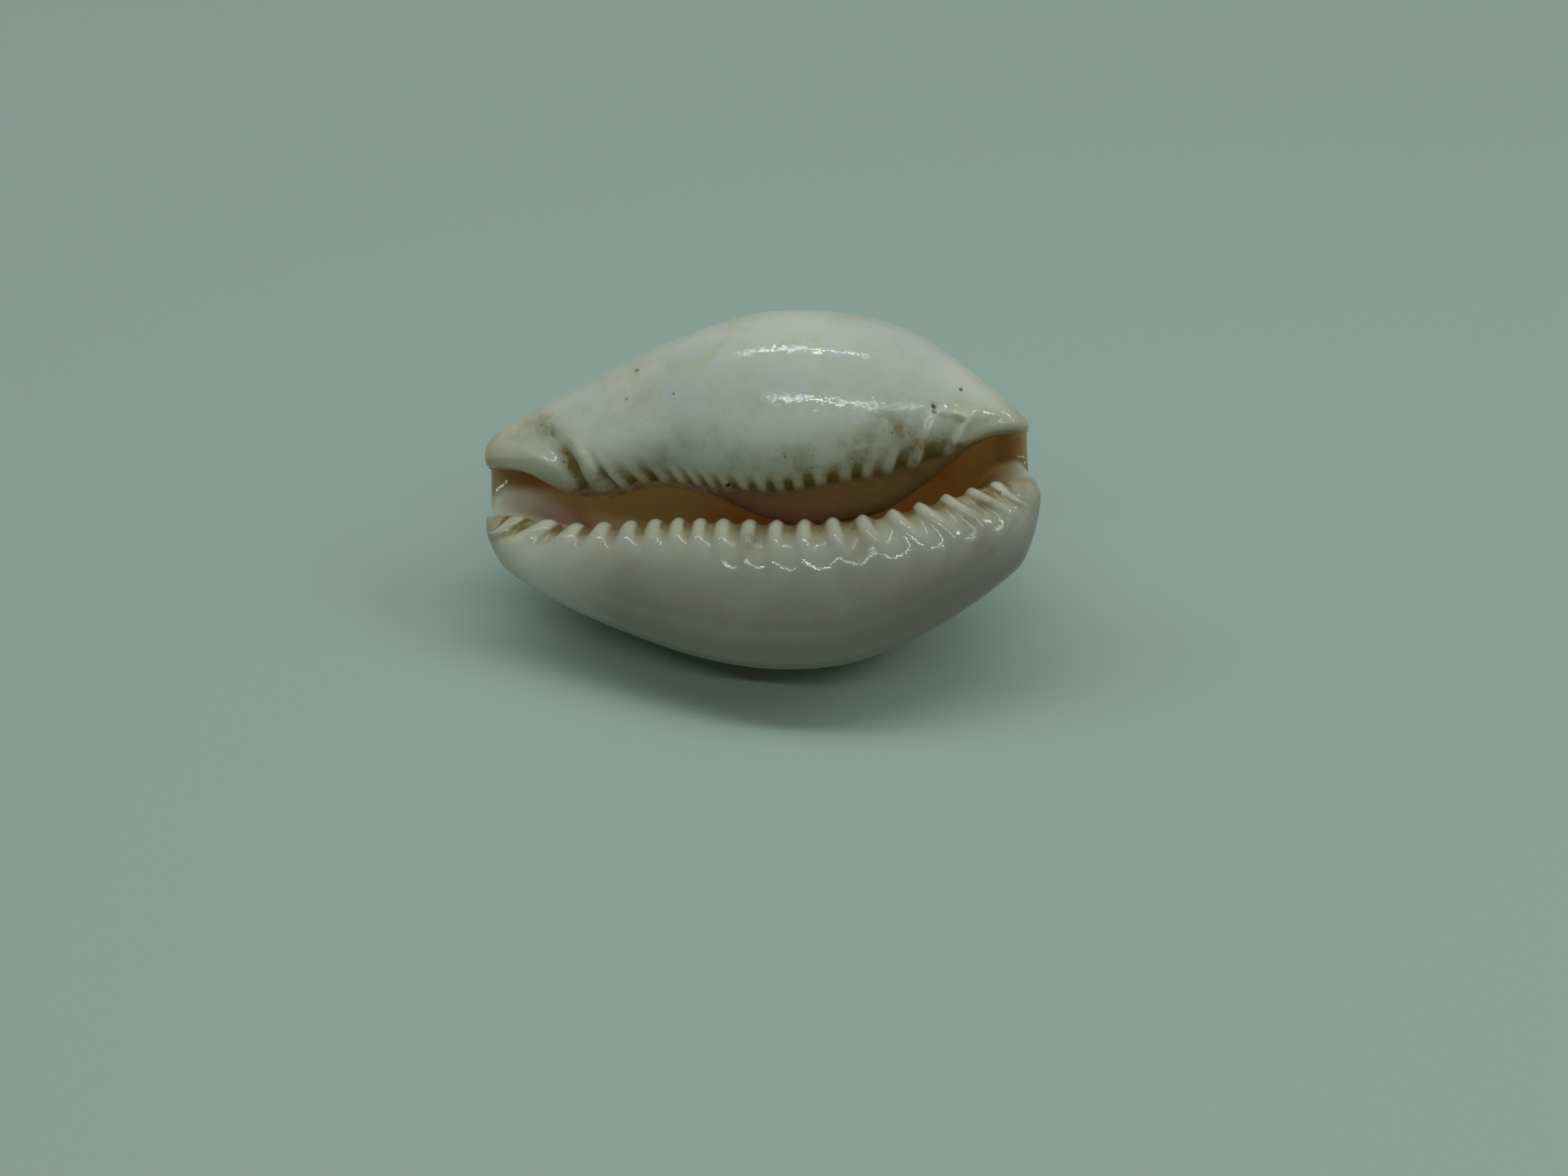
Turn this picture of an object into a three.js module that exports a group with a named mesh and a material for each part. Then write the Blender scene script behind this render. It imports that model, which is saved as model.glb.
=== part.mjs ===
// White-spotted cowry shell, resting on its back with the toothed base facing forward and up.
// Millimetres, +Z up. The origin is the middle of the spot it rests on.
import * as THREE from 'three';
import { ParametricGeometry } from 'three/addons/geometries/ParametricGeometry.js';
import { mergeVertices } from 'three/addons/utils/BufferGeometryUtils.js';

// Driving dimensions, in mm and degrees.
const shellLength = 25;
const restTilt = 50;
const restPitch = 5.1;
const restFlatDepth = 0.12;
const endRounding = 0.9;
const gridPerTooth = 4;
const gridPerEndStep = 2;
const gridAround = [4, 3, 5, 5, 3, 3, 4];

// Each profile lists [place along the shell, size], both as fractions of the shell's length.
// Place 0 is the anterior end and 1 the posterior end. Heights are above the middle of the flanks.
const along = {
  // Half widths and depths of the body.
  marginLabral: profile([[0, 0.1], [0.03, 0.128], [0.06, 0.152], [0.15, 0.203], [0.3, 0.264],
    [0.42, 0.3], [0.54, 0.316], [0.66, 0.306], [0.78, 0.262], [0.88, 0.204], [0.95, 0.15],
    [0.985, 0.112], [1, 0.085]]),
  marginColumellar: profile([[0, 0.111], [0.03, 0.125], [0.1, 0.162], [0.2, 0.206], [0.35, 0.268],
    [0.47, 0.305], [0.56, 0.316], [0.66, 0.308], [0.76, 0.282], [0.85, 0.228], [0.92, 0.17],
    [0.965, 0.13], [1, 0.105]]),
  marginHeight: profile([[0, -0.05], [0.1, -0.045], [0.3, -0.01], [0.55, 0.01], [0.8, -0.01],
    [0.92, -0.035], [1, -0.04]]),
  backDepth: profile([[0, 0.108], [0.03, 0.122], [0.1, 0.172], [0.16, 0.225], [0.285, 0.315],
    [0.36, 0.348], [0.46, 0.372], [0.57, 0.38], [0.66, 0.374], [0.71, 0.362], [0.76, 0.334],
    [0.8, 0.3], [0.84, 0.26], [0.87, 0.219], [0.9, 0.17], [0.92, 0.139], [0.943, 0.115],
    [0.975, 0.098], [1, 0.085]]),
  backOffset: profile([[0, 0], [0.3, 0.01], [1, 0.01]]),
  flankFullness: profile([[0, 2.05], [0.25, 2.3], [0.7, 2.3], [0.85, 2.1], [1, 2]]),
  // The base: the top of each rounded side, and the two edges of the aperture.
  crestLabralHeight: profile([[0, -0.005], [0.03, 0.004], [0.1, 0.022], [0.19, 0.047],
    [0.28, 0.067], [0.37, 0.086], [0.465, 0.101], [0.587, 0.109], [0.68, 0.103], [0.78, 0.087],
    [0.88, 0.058], [0.95, 0.032], [0.98, 0.01], [1, 0]]),
  crestLabral: profile([[0, 0.066], [0.1, 0.105], [0.3, 0.135], [0.6, 0.15], [0.8, 0.115],
    [0.92, 0.075], [1, 0.035]]),
  crestColumellarHeight: profile([[0, -0.01], [0.1, 0.015], [0.2, 0.043], [0.32, 0.078],
    [0.45, 0.118], [0.59, 0.14], [0.68, 0.124], [0.76, 0.095], [0.85, 0.06], [0.93, 0.035], [1, 0]]),
  crestColumellar: profile([[0, 0.075], [0.1, 0.07], [0.2, 0.08], [0.35, 0.112], [0.6, 0.125],
    [0.8, 0.13], [0.92, 0.122], [1, 0.103]]),
  edgeLabral: profile([[0, 0.034], [0.05, 0.036], [0.12, 0.049], [0.17, 0.057], [0.27, 0.0545],
    [0.36, 0.05], [0.45, 0.053], [0.55, 0.058], [0.64, 0.0555], [0.7, 0.0505], [0.74, 0.043],
    [0.79, 0.031], [0.83, 0.0187], [0.875, 0.0072], [0.918, -0.006], [0.95, -0.0095], [1, -0.014]]),
  edgeColumellar: profile([[0, 0.052], [0.045, 0.0485], [0.078, 0.0415], [0.11, 0.0246],
    [0.135, 0.012], [0.155, 0.003], [0.17, 0.0016], [0.2, 0.003], [0.23, 0.0035], [0.26, 0.0105],
    [0.3, 0.0185], [0.345, 0.0165], [0.4, 0.011], [0.45, 0.0035], [0.5, -0.0015], [0.54, -0.0025],
    [0.58, 0], [0.62, 0.0057], [0.66, 0.0137], [0.7, 0.0187], [0.74, 0.028], [0.78, 0.039],
    [0.84, 0.058], [0.87, 0.073], [0.905, 0.086], [0.937, 0.092], [0.97, 0.095], [1, 0.096]]),
  edgeLabralDrop: profile([[0, 0.035], [0.2, 0.055], [0.6, 0.065], [0.85, 0.06], [1, 0.035]]),
  edgeColumellarDrop: profile([[0, 0.04], [0.2, 0.06], [0.6, 0.085], [0.85, 0.06], [1, 0.035]]),
  // The inside: wall thickness, how far the hollow reaches under each lip, its floor and its roof.
  backWall: profile([[0, 0.03], [0.1, 0.032], [0.5, 0.032], [0.85, 0.036], [1, 0.034]]),
  hollowLabral: profile([[0, -0.055], [0.08, -0.05], [0.14, -0.02], [0.2, 0.05], [0.3, 0.125],
    [0.6, 0.163], [0.8, 0.12], [0.88, 0.03], [0.94, -0.025], [1, -0.035]]),
  floorPlace: profile([[0, 0.035], [0.1, 0.03], [0.2, 0.012], [0.8, 0.012], [0.9, 0.045], [1, 0.07]]),
  columellarShare: profile([[0, 0.15], [0.08, 0.25], [0.3, 0.72], [0.6, 0.84], [0.82, 0.62],
    [0.92, 0.25], [1, 0.15]]),
  lipUnderside: profile([[0, 0.024], [0.06, 0.035], [0.12, 0.05], [0.3, 0.045], [0.6, 0.055],
    [0.85, 0.045], [0.93, 0.035], [1, 0.01]]),
  roofRise: profile([[0, 0.003], [0.12, 0.006], [0.3, 0.022], [0.55, 0.034], [0.75, 0.024],
    [0.9, 0.007], [1, 0.003]]),
  // The inner whorl that curls down from the columellar edge.
  whorlBulge: profile([[0, 0], [0.12, 0], [0.22, 0.006], [0.27, 0.009], [0.33, 0.005], [0.38, 0.01],
    [0.42, 0.019], [0.466, 0.033], [0.51, 0.048], [0.6, 0.066], [0.72, 0.06], [0.79, 0.036],
    [0.84, 0.014], [0.88, 0.003], [0.92, 0], [1, 0]]),
  whorlDrop: profile([[0, 0.2], [0.3, 0.18], [0.45, 0.26], [0.6, 0.34], [0.8, 0.3], [1, 0.2]]),
  whorlCurl: profile([[0, 0.1], [0.3, 0.1], [0.45, 0.16], [0.6, 0.25], [0.8, 0.2], [1, 0.1]]),
  whorlWidth: profile([[0, 0.006], [0.2, 0.012], [0.4, 0.03], [0.5, 0.07], [0.65, 0.1],
    [0.8, 0.06], [0.92, 0.012], [1, 0.006]]),
  whorlTurn: profile([[0, 20], [0.35, 30], [0.45, 60], [0.55, 115], [0.75, 115], [0.88, 60], [1, 20]]),
  whorlWall: profile([[0, 0.014], [0.2, 0.024], [0.6, 0.032], [0.85, 0.026], [1, 0.014]]),
  whorlJoin: profile([[0, 0.92], [0.1, 0.85], [0.17, 0.6], [0.25, 0.1], [0.3, 0], [0.76, 0],
    [0.82, 0.15], [0.88, 0.55], [0.93, 0.85], [1, 0.92]]),
};

// Where the teeth stand: 19 on each lip, as fractions of the length.
const labralTeeth = [0.06, 0.1205, 0.1715, 0.2235, 0.2735, 0.32, 0.3635, 0.4035, 0.4455, 0.4925,
  0.54, 0.5885, 0.637, 0.6885, 0.7405, 0.7865, 0.8325, 0.8765, 0.918];
const columellarTeeth = [0.168, 0.2315, 0.265, 0.304, 0.342, 0.374, 0.402, 0.4285, 0.4555, 0.4865,
  0.518, 0.5495, 0.583, 0.62, 0.6625, 0.699, 0.735, 0.7785, 0.8415];

// The grid's lines run from tooth to tooth, with two more steps at each end of the shell.
const firstLine = -2;
const lastLine = 22;
const labralPlace = profile([[-2, 0], [-1, 0.008], [0, 0.028],
  ...labralTeeth.map((x, i) => [i + 1, x]), [20, 0.962], [21, 0.99], [22, 1]]);
const columellarPlace = profile([[-2, 0], [-1, 0.014], [0, 0.07],
  ...columellarTeeth.map((x, i) => [i + 1, x]), [20, 0.905], [21, 0.958], [22, 0.978]]);
// How far the rim lies in from the shell's ends: on the back at either canal, and on the rear lobe.
const frontNotch = -0.006;
const rearNotch = 0.012;
const lobeRound = 0.016;

// Size and lean of the teeth, by tooth number. Ridges with a breadth over 2 are broader than
// the hollows between them.
const labralTooth = {
  height: profile([[-2, 0.002], [1, 0.003], [2, 0.0065], [4, 0.0072], [6, 0.0056], [8, 0.0045],
    [10, 0.0052], [13, 0.006], [16, 0.006], [18, 0.0055], [19, 0.003], [22, 0.002]]),
  breadth: profile([[-2, 2.6], [3, 2.8], [7, 2.4], [10, 1.9], [12, 1.5], [22, 1.45]]),
  reach: profile([[-2, 0.085], [3, 0.085], [7, 0.08], [10, 0.11], [14, 0.11], [19, 0.085], [22, 0.07]]),
  lean: profile([[-2, 0], [-1, -0.1], [0, -0.45], [1, -0.9], [2, -1.1], [3, -0.6], [4, -0.33],
    [5, -0.1], [7, 0], [11, 0], [12, 0.1], [13, 0.35], [14, 0.5], [15, 0.8], [17, 1], [19, 1.1],
    [22, 1.1]]),
};
const columellarTooth = {
  height: profile([[-2, 0.004], [1, 0.006], [2, 0.007], [3, 0.005], [5, 0.004], [9, 0.0032],
    [14, 0.0034], [16, 0.004], [18, 0.006], [19, 0.004], [22, 0.003]]),
  breadth: profile([[-2, 2.2], [4, 2.2], [10, 2.2], [16, 2], [22, 1.8]]),
  reach: profile([[-2, 0.13], [2, 0.12], [4, 0.085], [8, 0.07], [13, 0.07], [16, 0.08], [18, 0.12],
    [22, 0.1]]),
  lipShare: profile([[-2, 1], [3, 0.8], [5, 0.35], [13, 0.3], [15, 0.6], [17, 1], [22, 1]]),
  lean: profile([[-2, -0.5], [1, -0.8], [2, -0.8], [3, -0.7], [5, -0.55], [8, -0.5], [10, -0.25],
    [11, -0.1], [13, 0], [15, 0.18], [17, 0.4], [18, 0.5], [19, 0.7], [22, 0.4]]),
};

// Broad folds beside the anterior canal: path of [along, across], height and half width, and
// the share of the path over which the fold fades in.
const folds = [
  { path: [[0.098, 0.143], [0.122, 0.122], [0.148, 0.1], [0.168, 0.07], [0.181, 0.036], [0.191, 0.008]],
    height: -0.0095, width: 0.014, grow: 0.55 },
  { path: [[0.14, 0.128], [0.165, 0.107], [0.182, 0.085], [0.197, 0.057], [0.212, 0.03], [0.224, 0.002]],
    height: 0.0055, width: 0.014, grow: 0.9 },
  { path: [[0.03, 0.079], [0.067, 0.079], [0.111, 0.065], [0.144, 0.044], [0.168, 0.018]],
    height: 0.003, width: 0.012, grow: 0.5 },
];

// A smooth curve through the points, with each slope taken from the two neighbours.
function profile(points) {
  const slope = points.map((p, i) => {
    const a = points[Math.max(i - 1, 0)];
    const b = points[Math.min(i + 1, points.length - 1)];
    return (b[1] - a[1]) / (b[0] - a[0]);
  });
  return (x) => {
    const last = points.length - 1;
    if (x <= points[0][0]) return points[0][1];
    if (x >= points[last][0]) return points[last][1];
    let i = 0;
    while (x > points[i + 1][0]) i += 1;
    const [xa, ya] = points[i];
    const [xb, yb] = points[i + 1];
    const h = xb - xa;
    const t = (x - xa) / h;
    const rise = (3 - 2 * t) * t * t;
    return ya + (yb - ya) * rise + h * t * (1 - t) * ((1 - t) * slope[i] - t * slope[i + 1]);
  };
}

function clamp(x, low, high) {
  return Math.min(Math.max(x, low), high);
}

function ease(from, to, x) {
  const t = clamp((x - from) / (to - from), 0, 1);
  return t * t * (3 - 2 * t);
}

function blend(a, b, share) {
  return [a[0] + (b[0] - a[0]) * share, a[1] + (b[1] - a[1]) * share];
}

// A rounded quarter from a to b. It leaves a upright and reaches b level, or the other way round.
function quarter(a, b, s, squareness, levelFirst) {
  const angle = (levelFirst ? 1 - s : s) * Math.PI / 2;
  const c = Math.cos(angle) ** (2 / squareness);
  const d = Math.sin(angle) ** (2 / squareness);
  if (levelFirst) return [a[0] + (b[0] - a[0]) * c, b[1] + (a[1] - b[1]) * d];
  return [b[0] + (a[0] - b[0]) * c, a[1] + (b[1] - a[1]) * d];
}

function lipLabral(x) {
  return [-along.edgeLabral(x), along.crestLabralHeight(x) - along.edgeLabralDrop(x)];
}

function lipColumellar(x) {
  return [along.edgeColumellar(x), along.crestColumellarHeight(x) - along.edgeColumellarDrop(x)];
}

// The inner whorl's outer face: an S from the columellar lip, then an arc that curls under.
function whorlFace(x, s) {
  const [y, z] = lipColumellar(x);
  const room = z + along.backDepth(x) - along.backWall(x);
  const y1 = y - along.whorlBulge(x);
  const z1 = z - along.whorlDrop(x) * room;
  if (s < 0.5) return [y + (y1 - y) * ease(0, 0.5, s), z + (z1 - z) * s * 2];
  const turn = (s - 0.5) * 2 * THREE.MathUtils.degToRad(along.whorlTurn(x));
  return [y1 + along.whorlWidth(x) * (1 - Math.cos(turn)), z1 - along.whorlCurl(x) * room * Math.sin(turn)];
}

// The whorl's hidden face, one wall thickness behind. It starts where the whorl leaves the body.
function whorlBack(x, share) {
  const start = clamp(along.whorlJoin(x), 0, 1);
  const s = start + (1 - start) * share;
  const a = whorlFace(x, Math.max(s - 0.001, 0));
  const b = whorlFace(x, Math.min(s + 0.001, 1));
  const length = Math.hypot(b[0] - a[0], b[1] - a[1]) + 1e-12;
  const room = along.marginColumellar(x) - along.edgeColumellar(x);
  const wall = Math.min(along.whorlWall(x), 0.3 * room);
  const thickness = wall * Math.sqrt(1 - clamp((s - 0.8) / 0.2, 0, 1) ** 2);
  const [y, z] = whorlFace(x, s);
  return [y - (b[1] - a[1]) / length * thickness, z + (b[0] - a[0]) / length * thickness];
}

// One point of the outer half: labral lip, flank, back, columellar flank, columellar lip, whorl.
function outerPoint(x, stage, s) {
  if (stage === 6) return whorlFace(x, s);
  const corners = [
    lipLabral(x),
    [-along.crestLabral(x), along.crestLabralHeight(x)],
    [-along.marginLabral(x), along.marginHeight(x)],
    [along.backOffset(x), -along.backDepth(x)],
    [along.marginColumellar(x), along.marginHeight(x)],
    [along.crestColumellar(x), along.crestColumellarHeight(x)],
    lipColumellar(x),
  ];
  const squareness = [2, along.flankFullness(x), 2.05, 2.05, 2.1, 2];
  return quarter(corners[stage], corners[stage + 1], s, squareness[stage], stage % 2 === 1);
}

// The matching point of the hollow's wall. In the canals its labral side is one slope to the floor.
function innerPoint(x, stage, s) {
  if (stage === 6) return whorlBack(x, s);
  const lip = lipLabral(x);
  const join = whorlBack(x, 0);
  const floor = -(along.backDepth(x) - along.backWall(x));
  const labral = -along.edgeLabral(x) - along.hollowLabral(x);
  const columellar = join[0] + (along.marginColumellar(x) - join[0]) * along.columellarShare(x);
  const under = lip[1] - along.lipUnderside(x);
  const roof = join[1] + along.roofRise(x);
  const corners = [
    lip,
    [lip[0] + (labral - lip[0]) * 0.45, under],
    [labral, (floor + under) / 2],
    [along.floorPlace(x), floor],
    [columellar, (floor + roof) / 2],
    [join[0] + (columellar - join[0]) * 0.45, roof],
    join,
  ];
  const own = quarter(corners[stage], corners[stage + 1], s, 2, stage % 2 === 1);
  if (stage > 2) return own;
  const slope = quarter(lip, corners[3], (stage + s) / 3, 2, false);
  return blend(own, slope, 1 - ease(0.09, 0.2, x) + ease(0.83, 0.93, x));
}

// The grid's lines: fine from the first tooth to the last, and coarser at the two ends.
function gridLines() {
  const list = [];
  for (let line = firstLine; line < lastLine;) {
    list.push(line);
    line += line < 0 || line >= lastLine - 2 ? 1 / gridPerEndStep : 1 / gridPerTooth;
  }
  list.push(lastLine);
  return list;
}

// How far along the outer half each grid column lies, as [stage, share of the stage].
function columns() {
  const list = [];
  gridAround.forEach((count, stage) => {
    for (let i = 0; i < count; i += 1) {
      const s = i / count;
      list.push([stage, stage < 6 ? s : 1 - (1 - s) ** 1.5]);
    }
  });
  list.push([6, 1]);
  return list;
}

// Place along the shell of a grid line at one column, blended from the labral to the other side.
function placeOf(line, stage, s) {
  const onColumella = ease(1, 4.8, stage + s);
  const x = labralPlace(line) * (1 - onColumella) + columellarPlace(line) * onColumella;
  const onBack = Math.exp(-(((stage + s - 3) / 0.9) ** 2));
  const onLobe = Math.exp(-(((stage + s) / 0.8) ** 2));
  const rear = rearNotch * onBack + lobeRound * onLobe;
  return x + frontNotch * onBack * (1 - ease(-2, 1, line)) - rear * ease(19.5, 22, line);
}

// 0 on the rim at either end and 1 further in, as a rounded edge.
function endShape(x, stage, s) {
  const reach = endRounding / shellLength;
  const front = clamp((x - placeOf(firstLine, stage, s)) / reach, 0, 1);
  const rear = clamp((placeOf(lastLine, stage, s) - x) / reach, 0, 1);
  return Math.sqrt(1 - (1 - front) ** 2) * Math.sqrt(1 - (1 - rear) ** 2);
}

// The smooth shell, without teeth. Near the lips the grid lines lean as the teeth do.
function smoothPoint(line, stage, s, inside) {
  const section = (x) => {
    const outer = outerPoint(x, stage, s);
    const inner = innerPoint(x, stage, s);
    const own = inside ? inner : outer;
    const other = inside ? outer : inner;
    return blend(other, own, (1 + endShape(x, stage, s)) / 2);
  };
  let x = placeOf(line, stage, s);
  let [y, z] = section(x);
  if (!inside && stage < 2) {
    const d = Math.max(-along.edgeLabral(x) - y, 0);
    const fade = ease(-2, 1, line) * (1 - ease(18, 21.5, line)) * (1 - ease(0.05, 0.16, d));
    x += labralTooth.lean(line) * d * fade;
    [y, z] = section(x);
  }
  if (!inside && (stage === 4 || stage === 5)) {
    const d = Math.max(y - along.edgeColumellar(x), 0);
    const fade = ease(-1, 1.5, line) * (1 - ease(19, 22, line)) * (1 - ease(0.06, 0.2, d));
    x += columellarTooth.lean(line) * d * fade;
    [y, z] = section(x);
  }
  return new THREE.Vector3(x, y, z);
}

// 1 on each whole number and -1 halfway. Above 2 the ridges are broad, below 2 they are narrow.
function ridgeWave(line, breadth) {
  if (breadth > 2) return 1 - 2 * Math.abs(Math.sin(Math.PI * line)) ** breadth;
  return 2 * Math.abs(Math.cos(Math.PI * line)) ** (4 / breadth) - 1;
}

// Height of the folds at a place on the base, as a fraction of the length.
function foldHeight(x, y) {
  let height = 0;
  for (const fold of folds) {
    const path = fold.path.map((point) => new THREE.Vector2(...point));
    const steps = path.slice(1).map((point, i) => point.distanceTo(path[i]));
    let nearest = Infinity;
    let travelled = 0;
    let before = 0;
    steps.forEach((step, i) => {
      const direction = path[i + 1].clone().sub(path[i]).divideScalar(step);
      const t = clamp(new THREE.Vector2(x, y).sub(path[i]).dot(direction), 0, step);
      const gap = Math.hypot(x - path[i].x - t * direction.x, y - path[i].y - t * direction.y);
      if (gap < nearest) {
        nearest = gap;
        travelled = before + t;
      }
      before += step;
    });
    const grown = ease(0, fold.grow, travelled / before);
    height += fold.height * grown * Math.exp(-((nearest / fold.width) ** 2));
  }
  return height;
}

// How far the surface stands out at a tooth or sinks between two, as a fraction of the length.
function toothHeight(point, line, stage, inside) {
  const [y, z] = stage < 3 ? lipLabral(point.x) : lipColumellar(point.x);
  const d = Math.hypot(point.y - y, point.z - z);
  if (stage < 2 && !(inside && stage > 0)) {
    const fade = inside ? 1 - ease(0, 0.04, d) : 1 - ease(0.015, labralTooth.reach(line), d);
    const row = ease(0.3, 1, line) * (1 - ease(18.9, 19.6, line));
    return labralTooth.height(line) * fade * row * ridgeWave(line, labralTooth.breadth(line));
  }
  if (stage >= 4 && !inside) {
    const fade = stage === 6 ? 1 - ease(0.005, 0.035, d) : 1 - ease(0.015, columellarTooth.reach(line), d);
    const row = ease(2.3, 3, line) * (1 - ease(18.6, 19.4, line));
    const lipShare = columellarTooth.lipShare(line);
    const atLip = lipShare + (1 - lipShare) * ease(0, 0.02, d);
    const ridge = ridgeWave(line, columellarTooth.breadth(line)) * fade * row * atLip;
    return columellarTooth.height(line) * ridge + foldHeight(point.x, point.y);
  }
  return 0;
}

// One closed surface: the outer half of the loop, then the hollow's wall back to the start.
function shellGeometry() {
  const half = columns();
  const around = half.length * 2 - 2;
  const lines = gridLines();
  const loop = (i) => {
    const column = (i + around) % around;
    if (column < half.length) return { stage: half[column][0], s: half[column][1], inside: false };
    const [stage, s] = half[around - column];
    return { stage, s, inside: true };
  };
  const smoothAt = (line, column) => {
    const { stage, s, inside } = loop(column);
    return smoothPoint(clamp(line, firstLine, lastLine), stage, s, inside);
  };
  const surface = (u, v, target) => {
    const line = lines[Math.round((1 - u) * (lines.length - 1))];
    const column = Math.round(v * around);
    const { stage, s, inside } = loop(column);
    target.copy(smoothAt(line, column));
    const height = toothHeight(target, line, stage, inside) * endShape(target.x, stage, s);
    if (height !== 0) {
      const step = 1 / gridPerTooth;
      const across = smoothAt(line + step, column).sub(smoothAt(line - step, column));
      const round = smoothAt(line, column + 1).sub(smoothAt(line, column - 1));
      target.addScaledVector(across.cross(round).normalize(), -height);
    }
    target.multiplyScalar(shellLength);
  };
  const geometry = new ParametricGeometry(surface, lines.length - 1, around);
  geometry.deleteAttribute('normal');
  geometry.deleteAttribute('uv');
  return mergeVertices(geometry, 1e-3);
}

// Lays the shell on its back and cuts the small flat that it stands on.
function restOnBack(geometry) {
  geometry.translate(-shellLength / 2, 0, 0);
  geometry.rotateX(THREE.MathUtils.degToRad(restTilt));
  geometry.rotateY(THREE.MathUtils.degToRad(-restPitch));
  geometry.computeBoundingBox();
  const floor = geometry.boundingBox.min.z + restFlatDepth;
  const place = geometry.getAttribute('position');
  const middle = new THREE.Vector2();
  let count = 0;
  for (let i = 0; i < place.count; i += 1) {
    if (place.getZ(i) > floor) continue;
    place.setZ(i, floor);
    middle.add(new THREE.Vector2(place.getX(i), place.getY(i)));
    count += 1;
  }
  middle.divideScalar(count);
  geometry.translate(-middle.x, -middle.y, -floor);
  geometry.computeVertexNormals();
  return geometry;
}

const shell = new THREE.Mesh(
  restOnBack(shellGeometry()),
  new THREE.MeshStandardMaterial({ color: 0xe9e2d6, roughness: 0.22, metalness: 0 }),
);
shell.name = 'shell';

const cowry = new THREE.Group();
cowry.add(shell);

export default cowry;
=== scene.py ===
import math

import bmesh
import bpy
import numpy as np
from mathutils import Matrix, Vector


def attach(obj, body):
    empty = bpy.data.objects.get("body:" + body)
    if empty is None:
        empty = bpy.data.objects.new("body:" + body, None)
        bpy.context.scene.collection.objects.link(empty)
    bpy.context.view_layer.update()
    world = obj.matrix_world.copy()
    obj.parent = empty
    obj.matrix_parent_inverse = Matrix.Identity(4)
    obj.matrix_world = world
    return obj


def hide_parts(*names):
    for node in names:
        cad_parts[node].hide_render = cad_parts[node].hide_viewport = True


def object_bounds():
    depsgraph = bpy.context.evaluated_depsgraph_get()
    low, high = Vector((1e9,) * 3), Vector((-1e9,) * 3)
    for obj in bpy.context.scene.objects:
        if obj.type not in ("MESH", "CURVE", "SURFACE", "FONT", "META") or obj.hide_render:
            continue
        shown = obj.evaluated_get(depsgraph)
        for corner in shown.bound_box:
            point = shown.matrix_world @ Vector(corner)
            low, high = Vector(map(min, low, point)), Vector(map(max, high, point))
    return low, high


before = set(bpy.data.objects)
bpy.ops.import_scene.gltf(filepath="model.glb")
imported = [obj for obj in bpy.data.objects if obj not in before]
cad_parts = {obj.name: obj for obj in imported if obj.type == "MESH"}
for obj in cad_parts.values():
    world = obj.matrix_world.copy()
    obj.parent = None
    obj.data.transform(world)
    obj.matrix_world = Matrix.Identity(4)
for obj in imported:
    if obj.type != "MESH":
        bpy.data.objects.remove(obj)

cadBox = [list(corner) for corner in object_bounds()]
mm = 0.001
print("frame loaded, box in mm:", [[round(v / mm, 2) for v in corner] for corner in cadBox])


# small helpers

def profile(points):
    # smooth curve through (place, size) pairs, slopes taken from the two neighbours
    places, sizes = np.array(points, float).T
    slopes = np.empty_like(sizes)
    slopes[1:-1] = (sizes[2:] - sizes[:-2]) / (places[2:] - places[:-2])
    slopes[0] = (sizes[1] - sizes[0]) / (places[1] - places[0])
    slopes[-1] = (sizes[-1] - sizes[-2]) / (places[-1] - places[-2])

    def valueAt(x):
        x = np.clip(x, places[0], places[-1])
        i = np.clip(np.searchsorted(places, x) - 1, 0, len(places) - 2)
        gap = places[i + 1] - places[i]
        t = (x - places[i]) / gap
        rise = (3 - 2 * t) * t * t
        bend = gap * t * (1 - t) * ((1 - t) * slopes[i] - t * slopes[i + 1])
        return sizes[i] + (sizes[i + 1] - sizes[i]) * rise + bend
    return valueAt


def ease(start, end, x):
    # 0 up to start, 1 from end on, smooth between
    t = np.clip((x - start) / (end - start), 0, 1)
    return t * t * (3 - 2 * t)


def within(start, end, x):
    # rises from 0 to 1 over the range start, and falls back over the range end
    return ease(*start, x) * (1 - ease(*end, x))


def srgb(r, g, b):
    # screen colour from 0 to 255 to linear colour
    out = []
    for v in (r, g, b):
        c = v / 255
        out.append(c / 12.92 if c <= 0.04045 else ((c + 0.055) / 1.055) ** 2.4)
    return (*out, 1.0)


# the shell's form

shell = {
    "length": 25 * mm,
    "tilt": math.radians(50),        # how far it has rolled forward on its back
    "pitch": math.radians(5.1),      # posterior end up
    "restFlat": 0.227 * mm,          # depth of the small flat that it rests on
    "endRounding": 0.036,            # reach of the rounding at both end rims
    "canalNotch": (-0.006, 0.012),   # how far in the back's rim lies: at the front it stands out, then rear
    "notchReach": 0.9,               # to each side of the back's middle, in stages of the loop
    "lobeRound": 0.016,              # how far the labral lip's rear end lies in
    "lobeReach": 0.8,
    "crossing": (1, 4.8),            # stages over which lines pass from labral to columellar teeth
    "linesPerTooth": 12,
    "around": (22, 16, 14, 14, 34, 46, 14),   # grid columns in each stage of the loop
    "lastSpacing": 1.5,              # power by which the columns close up towards the whorl's end
    "firstLine": -2,                 # lines are numbered as the teeth are, 1 to 19, and run on past them
    "lastLine": 22,
    "frontLines": (-2, 1),           # over these lines the front notch fades out
    "rearLines": (19.5, 22),         # and over these the rear notch and the lobe's rounding grow
    "weld": 0.001 * mm,              # points closer than this are one
}

# stages of the loop round one section of the shell, from the edge of the labral lip over the outside;
# each is named for the corner where it ends, and the hollow's wall has the same stages
(toLabralCrest, toLabralMargin, toBack, toColumellarMargin, toColumellarCrest, toColumellarLip,
 toWhorlEnd) = range(7)

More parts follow.
